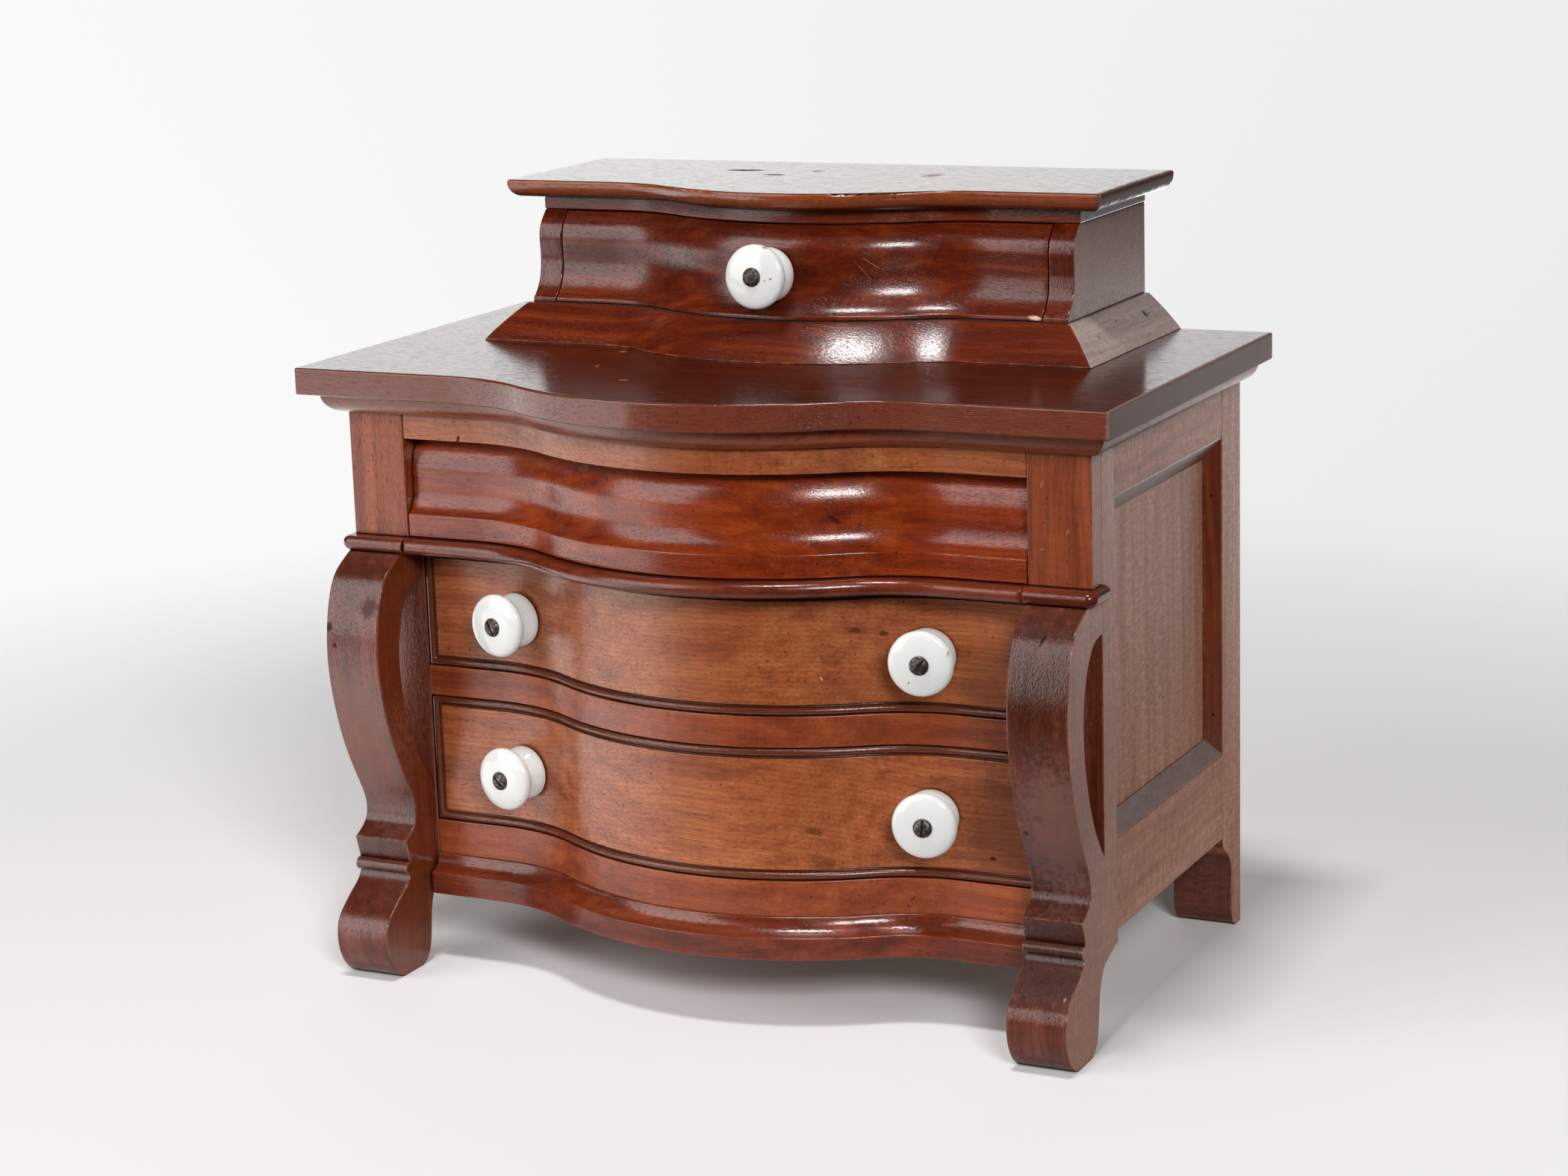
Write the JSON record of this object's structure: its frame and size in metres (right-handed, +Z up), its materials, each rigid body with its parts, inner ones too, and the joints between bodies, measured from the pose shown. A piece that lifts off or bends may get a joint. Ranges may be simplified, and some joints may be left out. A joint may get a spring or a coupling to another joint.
{
  "type": "sewing thread drawer cabinet",
  "caption": "Tabletop chest with a swelling serpentine front, scroll front legs, sliding drawers with round white knobs, and a small drawer box on its top.",
  "frame": {"origin": "on the floor, under the centre of the overall bounding box", "axes": "+X to the right along the front, +Y to the back, +Z up"},
  "size_m": [0.406, 0.2524, 0.3684],
  "materials": {
    "top_mahogany": "old varnish, rubbed, worn orange at the edges",
    "frame_mahogany": "old glossy varnish over red-brown mahogany",
    "drawer_front_mahogany": "old glossy varnish, fine straight grain",
    "leg_mahogany": "dark old varnish, worn along the front",
    "moulding_mahogany": "old varnish, dark in the quirks",
    "drawer_poplar": "bare planed wood, aged",
    "case_poplar": "bare wood, dusty",
    "glazed_porcelain": "white glaze, gloss",
    "aged_iron": "dark oxidised slotted head"
  },
  "bodies": {
    "cabinet": {"back_boards": "case_poplar", "base_moulding": "moulding_mahogany", "bed_moulding_front": "moulding_mahogany", "bed_moulding_left": "moulding_mahogany", "bed_moulding_right": "moulding_mahogany", "case_bottom": "case_poplar", "drawer_runners": "case_poplar", "drawer_stops": "case_poplar", "frieze_post_left": "frame_mahogany", "frieze_post_right": "frame_mahogany", "frieze_rail": "frame_mahogany", "front_stile_left": "frame_mahogany", "front_stile_right": "frame_mahogany", "lower_rail": "frame_mahogany", "main_top": "top_mahogany", "mid_rail": "frame_mahogany", "panel_moulding_left": "moulding_mahogany", "panel_moulding_right": "moulding_mahogany", "rear_stile_left": "frame_mahogany", "rear_stile_right": "frame_mahogany", "scroll_leg_left": "leg_mahogany", "scroll_leg_right": "leg_mahogany", "side_panel_left": "frame_mahogany", "side_panel_right": "frame_mahogany", "side_rails_left": "frame_mahogany", "side_rails_right": "frame_mahogany", "splay_front": "moulding_mahogany", "splay_left": "moulding_mahogany", "splay_right": "moulding_mahogany", "upper_back": "case_poplar", "upper_bed_board": "top_mahogany", "upper_bottom": "case_poplar", "upper_side_left": "frame_mahogany", "upper_side_right": "frame_mahogany", "upper_top": "top_mahogany", "waist_bead_left": "moulding_mahogany", "waist_bead_right": "moulding_mahogany", "waist_rail": "moulding_mahogany"},
    "upper_drawer": {"upper_drawer_back": "drawer_poplar", "upper_drawer_bolt": "aged_iron", "upper_drawer_bottom": "drawer_poplar", "upper_drawer_front": "drawer_front_mahogany", "upper_drawer_knob": "glazed_porcelain", "upper_drawer_sides": "drawer_poplar"},
    "frieze_drawer": {"frieze_drawer_back": "drawer_poplar", "frieze_drawer_bottom": "drawer_poplar", "frieze_drawer_front": "drawer_front_mahogany", "frieze_drawer_sides": "drawer_poplar"},
    "middle_drawer": {"middle_drawer_back": "drawer_poplar", "middle_drawer_bolts": "aged_iron", "middle_drawer_bottom": "drawer_poplar", "middle_drawer_front": "drawer_front_mahogany", "middle_drawer_knobs": "glazed_porcelain", "middle_drawer_sides": "drawer_poplar"},
    "bottom_drawer": {"bottom_drawer_back": "drawer_poplar", "bottom_drawer_bolts": "aged_iron", "bottom_drawer_bottom": "drawer_poplar", "bottom_drawer_front": "drawer_front_mahogany", "bottom_drawer_knobs": "glazed_porcelain", "bottom_drawer_sides": "drawer_poplar"}
  },
  "joints": [
    {"name": "upper_drawer_slide", "type": "slide", "parent": "cabinet", "child": "upper_drawer", "axis": [0, -1, 0], "range_m": [0, 0.07]},
    {"name": "frieze_drawer_slide", "type": "slide", "parent": "cabinet", "child": "frieze_drawer", "axis": [0, -1, 0], "range_m": [0, 0.12]},
    {"name": "middle_drawer_slide", "type": "slide", "parent": "cabinet", "child": "middle_drawer", "axis": [0, -1, 0], "range_m": [0, 0.12]},
    {"name": "bottom_drawer_slide", "type": "slide", "parent": "cabinet", "child": "bottom_drawer", "axis": [0, -1, 0], "range_m": [0, 0.12]}
  ]
}
